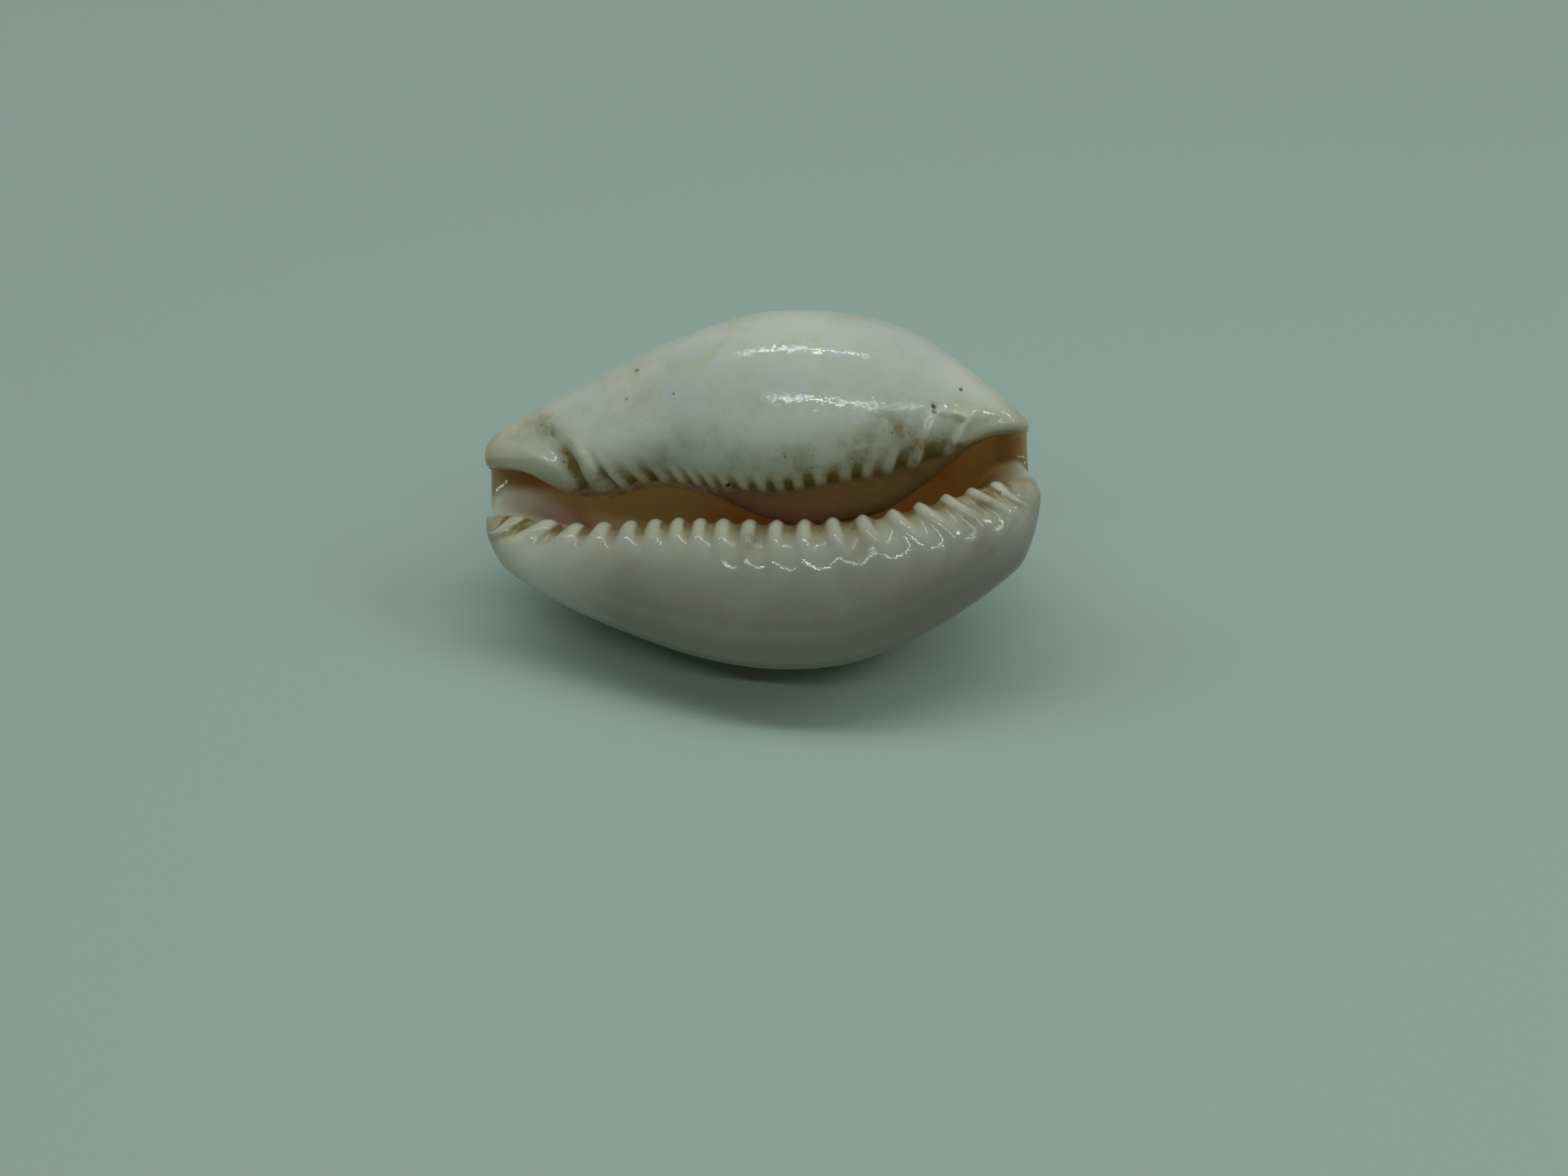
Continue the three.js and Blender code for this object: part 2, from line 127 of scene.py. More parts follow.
# (place along the shell, size) pairs, anterior end first, both as fractions of the length;
# a fullness is 2 for a round quarter and more for a squarer one, and a share is a share
marginLabral = profile([(0, .1), (.03, .128), (.06, .152), (.15, .203), (.3, .264), (.42, .3), (.54, .316),
                        (.66, .306), (.78, .262), (.88, .204), (.95, .15), (.985, .112), (1, .085)])
marginColumellar = profile([(0, .111), (.03, .125), (.1, .162), (.2, .206), (.35, .268), (.47, .305),
                            (.56, .316), (.66, .308), (.76, .282), (.85, .228), (.92, .17), (.965, .13),
                            (1, .105)])
marginHeight = profile([(0, -.05), (.1, -.045), (.3, -.01), (.55, .01), (.8, -.01), (.92, -.035),
                        (1, -.04)])
backDepth = profile([(0, .108), (.03, .122), (.1, .172), (.16, .225), (.285, .315), (.36, .348),
                     (.46, .372), (.57, .38), (.66, .374), (.71, .362), (.76, .334), (.8, .3), (.84, .26),
                     (.87, .219), (.9, .17), (.92, .139), (.943, .115), (.975, .098), (1, .085)])
backOffset = profile([(0, 0), (.3, .01), (1, .01)])
labralFullness = profile([(0, 2.05), (.25, 2.3), (.7, 2.3), (.85, 2.1), (1, 2)])
backFullness = 2.05
columellarFullness = 2.1
roundFullness = 2
crestLabralHeight = profile([(0, -.005), (.03, .004), (.1, .022), (.19, .047), (.28, .067), (.37, .086),
                             (.465, .101), (.587, .109), (.68, .103), (.78, .087), (.88, .058), (.95, .032),
                             (.98, .01), (1, 0)])
crestLabral = profile([(0, .066), (.1, .105), (.3, .135), (.6, .15), (.8, .115), (.92, .075), (1, .035)])
crestColumellarHeight = profile([(0, -.01), (.1, .015), (.2, .043), (.32, .078), (.45, .118), (.59, .14),
                                 (.68, .124), (.76, .095), (.85, .06), (.93, .035), (1, 0)])
crestColumellar = profile([(0, .075), (.1, .07), (.2, .08), (.35, .112), (.6, .125), (.8, .13),
                           (.92, .122), (1, .103)])
edgeLabral = profile([(0, .034), (.05, .036), (.12, .049), (.17, .057), (.27, .0545), (.36, .05),
                      (.45, .053), (.55, .058), (.64, .0555), (.7, .0505), (.74, .043), (.79, .031),
                      (.83, .0187), (.875, .0072), (.918, -.006), (.95, -.0095), (1, -.014)])
edgeColumellar = profile([(0, .052), (.045, .0485), (.078, .0415), (.11, .0246), (.135, .012), (.155, .003),
                          (.17, .0016), (.2, .003), (.23, .0035), (.26, .0105), (.3, .0185), (.345, .0165),
                          (.4, .011), (.45, .0035), (.5, -.0015), (.54, -.0025), (.58, 0), (.62, .0057),
                          (.66, .0137), (.7, .0187), (.74, .028), (.78, .039), (.84, .058), (.87, .073),
                          (.905, .086), (.937, .092), (.97, .095), (1, .096)])
edgeLabralDrop = profile([(0, .035), (.2, .055), (.6, .065), (.85, .06), (1, .035)])
edgeColumellarDrop = profile([(0, .04), (.2, .06), (.6, .085), (.85, .06), (1, .035)])
backWall = profile([(0, .03), (.1, .032), (.5, .032), (.85, .036), (1, .034)])
hollowLabral = profile([(0, -.055), (.08, -.05), (.14, -.02), (.2, .05), (.3, .125), (.6, .163), (.8, .12),
                        (.88, .03), (.94, -.025), (1, -.035)])
floorPlace = profile([(0, .035), (.1, .03), (.2, .012), (.8, .012), (.9, .045), (1, .07)])
columellarShare = profile([(0, .15), (.08, .25), (.3, .72), (.6, .84), (.82, .62), (.92, .25), (1, .15)])
lipUnderside = profile([(0, .024), (.06, .035), (.12, .05), (.3, .045), (.6, .055), (.85, .045),
                        (.93, .035), (1, .01)])
roofRise = profile([(0, .003), (.12, .006), (.3, .022), (.55, .034), (.75, .024), (.9, .007), (1, .003)])
hollowForm = {
    "frontCanal": (.09, .2),         # over this stretch the front canal opens into the hollow
    "rearCanal": (.83, .93),         # and over this one the hollow narrows to the rear canal
    "shoulder": .45,                 # where the upper wall turns down, as a share of its reach sideways
}

# the inner whorl that curls down from the columellar lip: drop and curl are shares of the room under
# the lip, turn is in degrees, and join is the share of the way down where the lip's roof meets it
whorlBulge = profile([(0, 0), (.12, 0), (.22, .006), (.27, .009), (.33, .005), (.38, .01), (.42, .019),
                      (.466, .033), (.51, .048), (.6, .066), (.72, .06), (.79, .036), (.84, .014),
                      (.88, .003), (.92, 0), (1, 0)])
whorlDrop = profile([(0, .2), (.3, .18), (.45, .26), (.6, .34), (.8, .3), (1, .2)])
whorlCurl = profile([(0, .1), (.3, .1), (.45, .16), (.6, .25), (.8, .2), (1, .1)])
whorlWidth = profile([(0, .006), (.2, .012), (.4, .03), (.5, .07), (.65, .1), (.8, .06), (.92, .012),
                      (1, .006)])
whorlTurn = profile([(0, 20), (.35, 30), (.45, 60), (.55, 115), (.75, 115), (.88, 60), (1, 20)])
whorlWall = profile([(0, .014), (.2, .024), (.6, .032), (.85, .026), (1, .014)])
whorlJoin = profile([(0, .92), (.1, .85), (.17, .6), (.25, .1), (.3, 0), (.76, 0), (.82, .15), (.88, .55),
                     (.93, .85), (1, .92)])
whorlForm = {
    "mostWall": .3,                  # its wall takes at most this share of the lip's width
    "roundFrom": .8,                 # from this share of its way on, the wall thins to a round edge
    "probe": .001,                   # step to each side in which its direction is measured
}

# where the 19 teeth of each lip stand along the shell
labralTeeth = (.06, .1205, .1715, .2235, .2735, .32, .3635, .4035, .4455, .4925, .54, .5885, .637, .6885,
               .7405, .7865, .8325, .8765, .918)
columellarTeeth = (.168, .2315, .265, .304, .342, .374, .402, .4285, .4555, .4865, .518, .5495, .583, .62,
                   .6625, .699, .735, .7785, .8415)
labralPlace = profile([(-2, 0), (-1, .008), (0, .028)] + list(enumerate(labralTeeth, 1))
                      + [(20, .962), (21, .99), (22, 1)])
columellarPlace = profile([(-2, 0), (-1, .014), (0, .07)] + list(enumerate(columellarTeeth, 1))
                          + [(20, .905), (21, .958), (22, .978)])

# tooth size and lean by tooth number, then the ranges over which they grow or fade;
# breadth is as ridgeWave takes it, and lipShare is the share of the height at the lip's very edge
labralTooth = {
    "height": profile([(-2, .002), (1, .003), (2, .0065), (4, .0072), (6, .0056), (8, .0045), (10, .0052),
                       (13, .006), (16, .006), (18, .0055), (19, .003), (22, .002)]),
    "breadth": profile([(-2, 2.6), (3, 2.8), (7, 2.4), (10, 1.9), (12, 1.5), (22, 1.45)]),
    "reach": profile([(-2, .085), (3, .085), (7, .085), (10, .125), (14, .15), (19, .12), (22, .09)]),
    "lipShare": profile([(-2, 1), (22, 1)]),
    "lean": profile([(-2, 0), (-1, -.1), (0, -.45), (1, -.9), (2, -1.1), (3, -.6), (4, -.33), (5, -.1),
                     (7, 0), (11, 0), (12, .1), (13, .35), (14, .5), (15, .8), (17, 1), (19, 1.1),
                     (22, 1.1)]),
    "row": ((.3, 1), (18.9, 19.6)),      # tooth numbers where the row begins and ends
    "underReach": (0, .04),              # distance over which the teeth fade under the lip
    "leanRow": ((-2, 1), (18, 21.5)),    # tooth numbers where the lean sets in and ends
    "leanReach": (.05, .16),             # distance from the lip over which it fades
}
columellarTooth = {
    "height": profile([(-2, .004), (1, .006), (2, .007), (3, .005), (5, .004), (9, .0032), (14, .0034),
                       (16, .004), (18, .006), (19, .004), (22, .003)]),
    "breadth": profile([(-2, 2.2), (4, 2.2), (10, 2.2), (16, 2), (22, 1.8)]),
    "reach": profile([(-2, .13), (2, .12), (4, .085), (8, .07), (13, .07), (16, .08), (18, .12), (22, .1)]),
    "lipShare": profile([(-2, 1), (3, .8), (5, .35), (13, .3), (15, .6), (17, 1), (22, 1)]),
    "lean": profile([(-2, -.5), (1, -.8), (2, -.8), (3, -.7), (5, -.55), (8, -.5), (10, -.25), (11, -.1),
                     (13, 0), (15, .18), (17, .4), (18, .5), (19, .7), (22, .4)]),
    "row": ((2.3, 3), (18.6, 19.4)),
    "underReach": (.005, .035),
    "leanRow": ((-1, 1.5), (19, 22)),
    "leanReach": (.06, .2),
}
toothFull = .015                         # a tooth begins to fade this far from the lip's edge
lipShareReach = .02                      # and grows from its lipShare to its height within this distance

# where the enamel of the base ends on the flanks, and how high its edge stands
enamelEdge = {
    "line": profile([(0, -.1), (.1, -.095), (.3, -.075), (.55, -.045), (.8, -.05), (1, -.08)]),
    "height": .0016,
    "width": .007,
    "secondLine": .045,
    "secondHeight": .0009,
    "stretch": ((.05, .2), (.8, .93)),   # where it rises and fades along the shell
    "columellarDrop": .04,               # how much lower the colours end on the columellar side
    "columellarSide": (0, .15),          # places across where that sets in
}

# single folds and grooves of the base, as fractions of the length: height or depth, half width,
# path in (along, across) points, and the share of the path over which the stroke grows
strokes = {
    "groove behind the front fold": {
        "height": -.0065, "width": .009, "grow": .85,
        "path": ((.098, .143), (.122, .122), (.148, .1), (.168, .07), (.181, .036), (.191, .008))},
    "gentle front side of that groove": {
        "height": -.0065, "width": .02, "grow": .7,
        "path": ((.085, .135), (.109, .115), (.134, .093), (.154, .064), (.168, .034), (.181, .008))},
    "second fold": {
        "height": .0055, "width": .014, "grow": .9,
        "path": ((.14, .128), (.165, .107), (.182, .085), (.197, .057), (.212, .03), (.224, .002))},
    "front fold": {
        "height": .003, "width": .012, "grow": .5,
        "path": ((.03, .079), (.067, .079), (.111, .065), (.144, .044), (.168, .018))},
    "groove behind the second fold": {
        "height": -.006, "width": .006, "grow": .9,
        "path": ((.192, .092), (.212, .066), (.228, .04), (.242, .016))},
    "rim of the rear canal": {
        "height": .0075, "width": .0075, "grow": .1,
        "path": ((.853, .074), (.879, .088), (.913, .101), (.95, .106), (.975, .104))},
    "short hooked fold": {
        "height": .0095, "width": .005, "grow": .1,
        "path": ((.85, .126), (.868, .119), (.872, .111), (.858, .092), (.846, .078))},
    "long fold before the rear canal": {
        "height": .008, "width": .0055, "grow": .3,
        "path": ((.817, .118), (.798, .083), (.785, .052))},
    "pit": {
        "height": -.016, "width": .0045, "grow": 0,
        "path": ((.818, .133), (.819, .1335))},
    "bump beside the pit": {
        "height": .006, "width": .005, "grow": 0,
        "path": ((.829, .131), (.837, .123))},
}
shortestGrowth = .001                    # least share over which a stroke grows


def strokeRelief(x, y):
    relief = np.zeros_like(x)
    for stroke in strokes.values():
        path = np.array(stroke["path"])
        steps = np.hypot(*np.diff(path, axis=0).T)
        nearest = np.full(x.shape, np.inf)
        travelled = np.zeros_like(x)
        for start, end, before in zip(path[:-1], path[1:], np.append(0, np.cumsum(steps))):
            step = end - start
            t = np.clip(((x - start[0]) * step[0] + (y - start[1]) * step[1]) / (step @ step), 0, 1)
            gap = np.hypot(x - start[0] - t * step[0], y - start[1] - t * step[1])
            closer = gap < nearest
            nearest = np.where(closer, gap, nearest)
            travelled = np.where(closer, before + t * np.hypot(*step), travelled)
        grow = max(stroke["grow"], shortestGrowth)
        grown = ease(-shortestGrowth, grow, travelled / steps.sum())
        relief += stroke["height"] * grown * np.exp(-(nearest / stroke["width"]) ** 2)
    return relief


def quarter(a, b, s, fullness, levelFirst):
    # rounded quarter from a to b, leaving upright and arriving level, or the other way round
    angle = (1 - s if levelFirst else s) * math.pi / 2
    cosine = max(math.cos(angle), 0) ** (2 / fullness)
    sine = max(math.sin(angle), 0) ** (2 / fullness)
    if levelFirst:
        return a[0] + (b[0] - a[0]) * cosine, b[1] + (a[1] - b[1]) * sine
    return b[0] + (a[0] - b[0]) * cosine, a[1] + (b[1] - a[1]) * sine


# from here on, a point of a section is (across, height), and s runs from 0 to 1 over a stage

def lipLabral(x):
    return -edgeLabral(x), crestLabralHeight(x) - edgeLabralDrop(x)


def lipColumellar(x):
    return edgeColumellar(x), crestColumellarHeight(x) - edgeColumellarDrop(x)


def whorlFace(x, s):
    # the whorl's wall as the slot shows it: down from the lip in the first half, then curling under
    y, z = lipColumellar(x)
    room = z + backDepth(x) - backWall(x)
    y1 = y - whorlBulge(x)
    z1 = z - whorlDrop(x) * room
    first = (y + (y1 - y) * ease(0, .5, s), z + (z1 - z) * s * 2)
    turn = np.maximum(s - .5, 0) * 2 * np.radians(whorlTurn(x))
    second = (y1 + whorlWidth(x) * (1 - np.cos(turn)), z1 - whorlCurl(x) * room * np.sin(turn))
    return np.where(s < .5, first[0], second[0]), np.where(s < .5, first[1], second[1])


def whorlBack(x, share):
    # its far side, from where it joins the lip's roof to the curled edge
    start = np.clip(whorlJoin(x), 0, 1)
    s = start + (1 - start) * share
    ya, za = whorlFace(x, np.maximum(s - whorlForm["probe"], 0))
    yb, zb = whorlFace(x, np.minimum(s + whorlForm["probe"], 1))
    length = np.hypot(yb - ya, zb - za) + 1e-12   # never nothing, for the division
    wall = np.minimum(whorlWall(x), whorlForm["mostWall"] * (marginColumellar(x) - edgeColumellar(x)))
    edge = (s - whorlForm["roundFrom"]) / (1 - whorlForm["roundFrom"])
    thickness = wall * np.sqrt(1 - np.clip(edge, 0, 1) ** 2)
    y, z = whorlFace(x, s)
    return y - (zb - za) / length * thickness, z + (yb - ya) / length * thickness


def outerSection(x, stage, s):
    if stage == toWhorlEnd:
        return whorlFace(x, np.full_like(x, s))
    corners = [lipLabral(x), (-crestLabral(x), crestLabralHeight(x)), (-marginLabral(x), marginHeight(x)),
               (backOffset(x), -backDepth(x)), (marginColumellar(x), marginHeight(x)),
               (crestColumellar(x), crestColumellarHeight(x)), lipColumellar(x)]
    fullness = (roundFullness, labralFullness(x), backFullness, backFullness, columellarFullness,
                roundFullness)[stage]
    return quarter(corners[stage], corners[stage + 1], s, fullness, levelFirst=stage % 2 == 1)


def innerSection(x, stage, s):
    # the hollow's wall; in the canals the labral side is one slope down to the floor
    if stage == toWhorlEnd:
        return whorlBack(x, s)
    lip = lipLabral(x)
    join = whorlBack(x, 0)
    floor = -(backDepth(x) - backWall(x))
    labral = -edgeLabral(x) - hollowLabral(x)
    columellar = join[0] + (marginColumellar(x) - join[0]) * columellarShare(x)
    under = lip[1] - lipUnderside(x)
    roof = join[1] + roofRise(x)
    shoulder = hollowForm["shoulder"]
    corners = [lip, (lip[0] + (labral - lip[0]) * shoulder, under), (labral, (floor + under) / 2),
               (floorPlace(x), floor), (columellar, (floor + roof) / 2),
               (join[0] + (columellar - join[0]) * shoulder, roof), join]
    y, z = quarter(corners[stage], corners[stage + 1], s, roundFullness, levelFirst=stage % 2 == 1)
    if stage <= toBack:
        slope = quarter(lip, corners[3], (stage + s) / 3, roundFullness, levelFirst=False)
        share = 1 - ease(*hollowForm["frontCanal"], x) + ease(*hollowForm["rearCanal"], x)
        y, z = y + (slope[0] - y) * share, z + (slope[1] - z) * share
    return y, z


def loopColumns():
    # the outer half of the loop, then the hollow's wall back to the start: (stage, share, inside)
    half = []
    for stage, count in enumerate(shell["around"]):
        for i in range(count):
            s = i / count
            half.append((stage, s if stage < toWhorlEnd else 1 - (1 - s) ** shell["lastSpacing"]))
    half.append((toWhorlEnd, 1.0))
    outside = [(stage, s, False) for stage, s in half]
    return outside + [(stage, s, True) for stage, s in half[-2:0:-1]]


def placeOf(line, stage, s):
    # how far along the shell a line of the grid crosses this point of the loop
    around = stage + s
    blend = ease(*shell["crossing"], around)
    x = labralPlace(line) * (1 - blend) + columellarPlace(line) * blend
    front, rear = shell["canalNotch"]
    notch = math.exp(-((around - toColumellarMargin) / shell["notchReach"]) ** 2)   # from the back's middle
    lobe = math.exp(-(around / shell["lobeReach"]) ** 2)
    atFront = 1 - ease(*shell["frontLines"], line)
    atRear = ease(*shell["rearLines"], line)
    return x + front * notch * atFront - (rear * notch + shell["lobeRound"] * lobe) * atRear


def endShape(x, rimFront, rimRear):
    # 0 on the end rims, 1 past their rounding; there the outer surface turns over into the hollow's
    front = np.clip((x - rimFront) / shell["endRounding"], 0, 1)
    rear = np.clip((rimRear - x) / shell["endRounding"], 0, 1)
    return np.sqrt(1 - (1 - front) ** 2) * np.sqrt(1 - (1 - rear) ** 2)


def leanAlong(line, tooth, outward):
    # how far the points at this distance outward from a lip shift along the shell
    outward = np.maximum(outward, 0)
    fade = within(*tooth["leanRow"], line) * (1 - ease(*tooth["leanReach"], outward))
    return tooth["lean"](line) * outward * fade


def smoothColumn(line, stage, s, inside):
    # one grid column of the smooth shell; near the lips its points lean as the teeth do
    x = placeOf(line, stage, s)
    rimFront, rimRear = x[0], x[-1]

    def section(x):
        yo, zo = outerSection(x, stage, s)
        yi, zi = innerSection(x, stage, s)
        share = (1 + (-1 if inside else 1) * endShape(x, rimFront, rimRear)) / 2
        return yo * share + yi * (1 - share), zo * share + zi * (1 - share)

    y, z = section(x)
    if not inside and stage in (toLabralCrest, toLabralMargin):
        x = x + leanAlong(line, labralTooth, -edgeLabral(x) - y)
        y, z = section(x)
    if not inside and stage in (toColumellarCrest, toColumellarLip):
        x = x + leanAlong(line, columellarTooth, y - edgeColumellar(x))
        y, z = section(x)
    return np.stack([x, y, z], 1), endShape(x, rimFront, rimRear)


def ridgeWave(line, breadth):
    # 1 on each whole number, -1 halfway: above 2 the ridges are broad, below 2 narrow with wide hollows
    broad = 1 - 2 * np.abs(np.sin(np.pi * line)) ** np.maximum(breadth, 2)
    narrow = 2 * np.abs(np.cos(np.pi * line)) ** (4 / np.minimum(breadth, 2)) - 1
    return np.where(breadth > 2, broad, narrow)


def toothRelief(line, stage, inside, place):
    # height of the teeth as a fraction of the length, the bare ridge-and-valley wave, and the
    # distance from the lip's edge
    x, y, z = place.T
    ly, lz = lipLabral(x) if stage <= toBack else lipColumellar(x)
    gap = np.hypot(y - ly, z - lz)
    if stage == toLabralCrest or (stage == toLabralMargin and not inside):
        tooth = labralTooth
        under = inside
    elif stage >= toColumellarCrest and not inside:
        tooth = columellarTooth
        under = stage == toWhorlEnd
    else:
        return np.zeros_like(x), np.zeros_like(x), gap
    fade = 1 - (ease(*tooth["underReach"], gap) if under else ease(toothFull, tooth["reach"](line), gap))
    ridge = ridgeWave(line, tooth["breadth"](line)) * fade * within(*tooth["row"], line)
    lipShare = tooth["lipShare"](line)
    atLip = lipShare + (1 - lipShare) * ease(0, lipShareReach, gap)
    return tooth["height"](line) * ridge * atLip, ridge, gap


def pastEnamel(x, z, stage):
    # how far a point lies past the enamel's edge; the inner faces of the lips count as their crests
    if stage == toLabralCrest:
        z = crestLabralHeight(x)
    if stage == toColumellarLip:
        z = crestColumellarHeight(x)
    return enamelEdge["line"](x) - z


def edgeRelief(x, z, stage):
    # the raised edge of the enamel on the flanks, and a fainter line nearer the base
    below = pastEnamel(x, z, stage)
    edge = enamelEdge["height"] * np.exp(-(below / enamelEdge["width"]) ** 2)
    second = (below + enamelEdge["secondLine"]) / enamelEdge["width"]
    return (edge + enamelEdge["secondHeight"] * np.exp(-second ** 2)) * within(*enamelEdge["stretch"], x)


# where tan stains cloud the enamel: (along, across, reach, strength)
stains = (
    (.374, .08, .03, .28), (.34, .05, .028, .5), (.434, .08, .028, .28), (.48, .04, .03, .45),
    (.747, .1, .035, .7), (.79, .075, .03, .95), (.70, .055, .035, .6), (.842, .05, .03, .95),
    (.175, .05, .017, 1), (.16, .08, .02, .8), (.138, .108, .024, .7), (.11, .125, .026, .55),
    (.07, .115, .025, .3), (.225, .033, .013, 1), (.262, .035, .012, .7), (.3, .045, .014, .6),
    (.06, -.05, .03, .35), (.1, -.065, .02, .4), (.15, -.07, .02, .35), (.9, -.03, .025, .5),
    (.86, -.08, .03, .35), (.9, -.1, .03, .35), (.68, -.11, .03, .3), (.27, -.13, .03, .3),
    (.6, .035, .035, .5), (.55, .035, .035, .5), (.64, .045, .035, .5), (.3, .2, .06, .15),
    (.5, -.09, .02, .5),
)


def stainAt(x, y):
    clean = np.ones_like(x)
    for along, across, reach, strength in stains:
        away = ((x - along) ** 2 + (y - across) ** 2) / reach ** 2
        clean *= 1 - strength * np.exp(-away)
    return 1 - clean


# single small marks on the enamel
spots = (
    {"place": (.296, .216), "reach": .12 * mm, "colour": srgb(136, 88, 56), "strength": .7},
    {"place": (.278, .162), "reach": .09 * mm, "colour": srgb(120, 90, 60), "strength": .6},
    {"place": (.369, .17), "reach": .08 * mm, "colour": srgb(120, 90, 60), "strength": .6},
    {"place": (.865, .168), "reach": .1 * mm, "colour": srgb(86, 62, 36), "strength": .8},
    {"place": (.459, .008), "reach": .16 * mm, "colour": srgb(26, 20, 16), "strength": 1},
    {"place": (.818, .135), "reach": .2 * mm, "colour": srgb(84, 68, 44), "strength": .85},
    {"place": (.82, .129), "reach": .14 * mm, "colour": srgb(84, 68, 44), "strength": .7},
)


# values that the material follows, and the ranges over which they grow from 0 to 1
markNames = ("ridge", "lip", "inner", "hollow", "wall", "back", "labral", "stain", "groove", "canal")
markRanges = {
    "groove": (.002, .013),          # depth of the strokes, over which their painted shade grows
    "labralAcross": (-.2, .05),      # the labral side fades out over the back
    "labralAlong": (.04, .28),
    "frontCanal": (.06, .16),
    "rearCanal": (.82, .9),
    "canalAround": (2.2, 2.9),       # stages of the hollow's wall
    "canalAmount": .85,              # share of the dark brown in the canals, where it shows most
    "hollow": (0, .03),              # distance in from the labral lip
    "wall": (-.06, .14),             # share of the way down the whorl
}


def surfaceMarks(stage, s, inside, place, ridge, gap):
    # one grid column's values; the whorl's wall counts as well within the enamel
    x, y, z = place.T
    marks = dict.fromkeys(markNames, 0.0)
    marks["ridge"] = ridge
    marks["lip"] = gap
    marks["inner"] = float(stage >= toColumellarCrest)
    marks["back"] = -1
    if stage != toWhorlEnd:
        drop = enamelEdge["columellarDrop"] * ease(*enamelEdge["columellarSide"], y)
        marks["back"] = pastEnamel(x, z, stage) - drop
    if stage <= toColumellarMargin:
        marks["labral"] = (1 - ease(*markRanges["labralAcross"], y)) * ease(*markRanges["labralAlong"], x)
    if not inside:
        marks["stain"] = stainAt(x, y)
    if not inside and stage in (toColumellarCrest, toColumellarLip):
        marks["groove"] = ease(*markRanges["groove"], -strokeRelief(x, y))
    if inside or stage == toWhorlEnd:
        ends = 1 - ease(*markRanges["frontCanal"], x) + ease(*markRanges["rearCanal"], x)
        marks["canal"] = markRanges["canalAmount"] * ends * ease(*markRanges["canalAround"], stage + s)
    if inside:
        marks["hollow"] = ease(*markRanges["hollow"], gap) if stage == toLabralCrest else 1
    elif stage == toWhorlEnd:
        marks["wall"] = ease(*markRanges["wall"], s)
    return marks


def spotPoints(raised, columns):
    # the grid points where the single marks lie
    baseStages = (toLabralCrest, toLabralMargin, toColumellarCrest, toColumellarLip)
    onBase = [c for c, (stage, s, inside) in enumerate(columns) if stage in baseStages and not inside]
    found = []
    for spot in spots:
        gap = np.hypot(*np.moveaxis(raised[:, onBase, :2] - spot["place"], 2, 0))
        row, c = np.unravel_index(gap.argmin(), gap.shape)
        found.append(row * len(columns) + onBase[c])
    return found


def unrolledBack(points, raised, columns):
    # the back laid flat from its middle line, for the pattern of rings
    middle = columns.index((toColumellarMargin, 0.0, False))
    step = np.linalg.norm(np.diff(points[:, :, 1:], axis=1), axis=2)
    girth = np.concatenate([np.zeros((len(points), 1)), np.cumsum(step, 1)], 1)
    girth -= girth[:, middle:middle + 1]
    return np.stack([raised[:, :, 0], girth, np.zeros_like(girth)], 2)


def shellSurface():
    # every grid point with its relief, its marks, its place on the unrolled back, and the single marks
    count = (shell["lastLine"] - shell["firstLine"]) * shell["linesPerTooth"] + 1
    line = np.linspace(shell["firstLine"], shell["lastLine"], count)
    columns = loopColumns()
    points = np.zeros((count, len(columns), 3))
    rim = np.zeros((count, len(columns)))
    for c, (stage, s, inside) in enumerate(columns):
        points[:, c], rim[:, c] = smoothColumn(line, stage, s, inside)

    along = np.gradient(points, axis=0)
    across = (np.roll(points, -1, 1) - np.roll(points, 1, 1)) / 2
    normal = np.cross(across, along)
    normal /= np.maximum(np.linalg.norm(normal, axis=2, keepdims=True), 1e-9)   # never nothing

    marks = {name: np.zeros((count, len(columns))) for name in markNames}
    raised = points.copy()
    for c, (stage, s, inside) in enumerate(columns):
        place = points[:, c]
        x, y, z = place.T
        height, ridge, gap = toothRelief(line, stage, inside, place)
        if not inside and stage in (toBack, toColumellarMargin):
            height = height + edgeRelief(x, z, stage)
        if not inside and stage >= toColumellarCrest:
            height = height + strokeRelief(x, y)
        raised[:, c] += normal[:, c] * (height * rim[:, c])[:, None]
        for name, values in surfaceMarks(stage, s, inside, place, ridge, gap).items():
            marks[name][:, c] = values
    marks["along"] = raised[:, :, 0]
    return raised, marks, unrolledBack(points, raised, columns), spotPoints(raised, columns)


def layOnBack(points):
    # from the shell's own axes to the resting pose, then into the middle of the frame's box, on its floor
    flat = points.reshape(-1, 3) * shell["length"]
    flat[:, 0] -= shell["length"] / 2
    turn = Matrix.Rotation(-shell["pitch"], 3, "Y") @ Matrix.Rotation(shell["tilt"], 3, "X")
    turned = flat @ np.array(turn).T
    turned[:, 2] = np.maximum(turned[:, 2], turned[:, 2].min() + shell["restFlat"])
    low, high = turned.min(0), turned.max(0)
    middle = (np.array(cadBox[0]) + np.array(cadBox[1])) / 2
    shift = middle - (low + high) / 2
    shift[2] = cadBox[0][2] - low[2]
    room = (np.array(cadBox[1]) - np.array(cadBox[0])) / (high - low)
    base = np.array([(low[0] + high[0]) / 2, (low[1] + high[1]) / 2, low[2]])
    return (turned - base) * np.minimum(room, 1) + base + shift, shift


